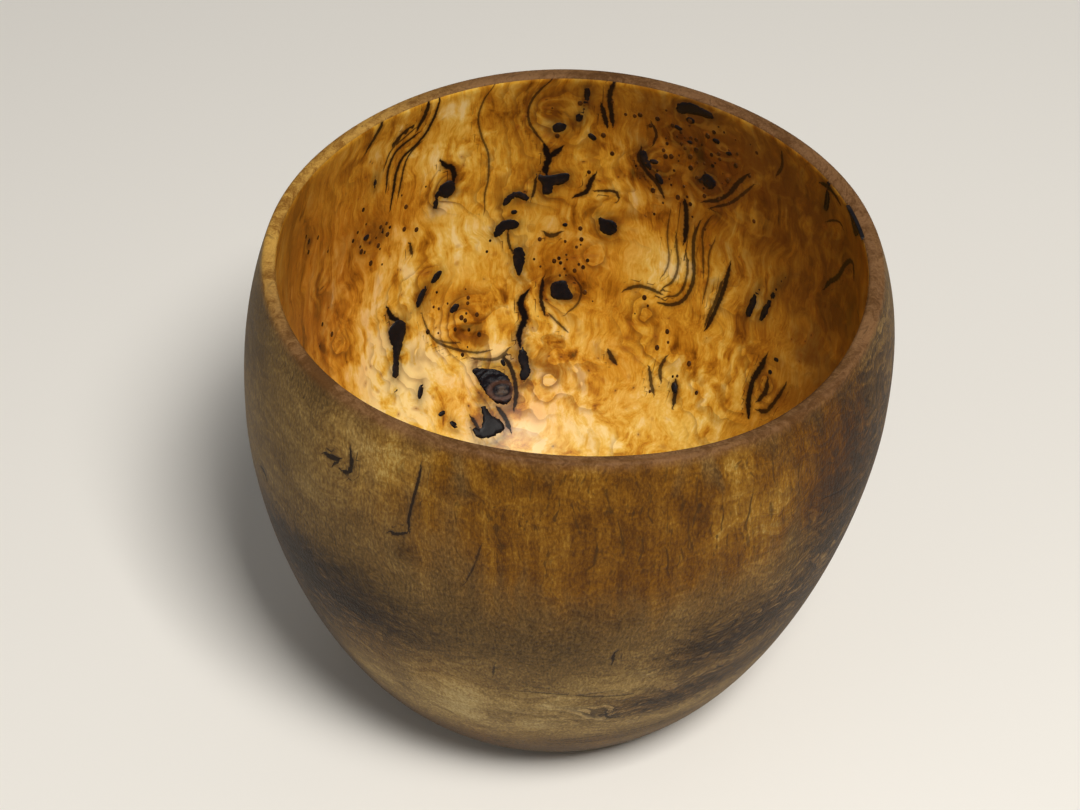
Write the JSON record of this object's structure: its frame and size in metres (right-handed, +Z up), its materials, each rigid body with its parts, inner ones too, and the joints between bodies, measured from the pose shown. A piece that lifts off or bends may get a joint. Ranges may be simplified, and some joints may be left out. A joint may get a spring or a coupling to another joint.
{
  "type": "wooden cup",
  "caption": "Handleless drinking cup carved from one piece of burl, with a thin warped rim, a round belly, a flat foot, and dark bark and a dead knot let into the inner wall.",
  "frame": {"origin": "Middle of the outer box, on the plane that the flat foot stands on.", "axes": "+Z is up, out of the bowl's mouth. The rim is lowest towards +X. The bark pockets lie on the inner wall towards +Y. Height is the shortest of the three sizes."},
  "size_m": [0.0994, 0.0998, 0.0855],
  "materials": {
    "burl_wood": "oiled burl: glossy golden amber inside, satin grey-brown outside",
    "dark_bark": "near-black ingrown bark, sealed and polished flush",
    "dead_knot": "blue-black dead knot with faint growth rings, sealed and polished flush"
  },
  "bodies": {
    "root": {"cup_body": "burl_wood", "knot_ringed": "dead_knot", "bark_flame": "dark_bark", "bark_lens": "dark_bark", "bark_tadpole": "dark_bark", "bark_small_drop": "dark_bark", "bark_eye_middle": "dark_bark", "bark_slash_lower": "dark_bark", "bark_slash_upper": "dark_bark", "bark_twin_lower": "dark_bark", "bark_twin_upper": "dark_bark", "bark_arch": "dark_bark", "bark_eye_right": "dark_bark", "bark_cluster": "dark_bark", "bark_drop": "dark_bark", "bark_top_dot": "dark_bark", "bark_streak_top": "dark_bark", "bark_crescent": "dark_bark", "bark_bar": "dark_bark", "bark_eye_dim": "dark_bark", "bark_streak_short": "dark_bark", "bark_streak_long": "dark_bark", "bark_rim_branch": "dark_bark", "bark_rim": "dark_bark"}
  },
  "joints": []
}
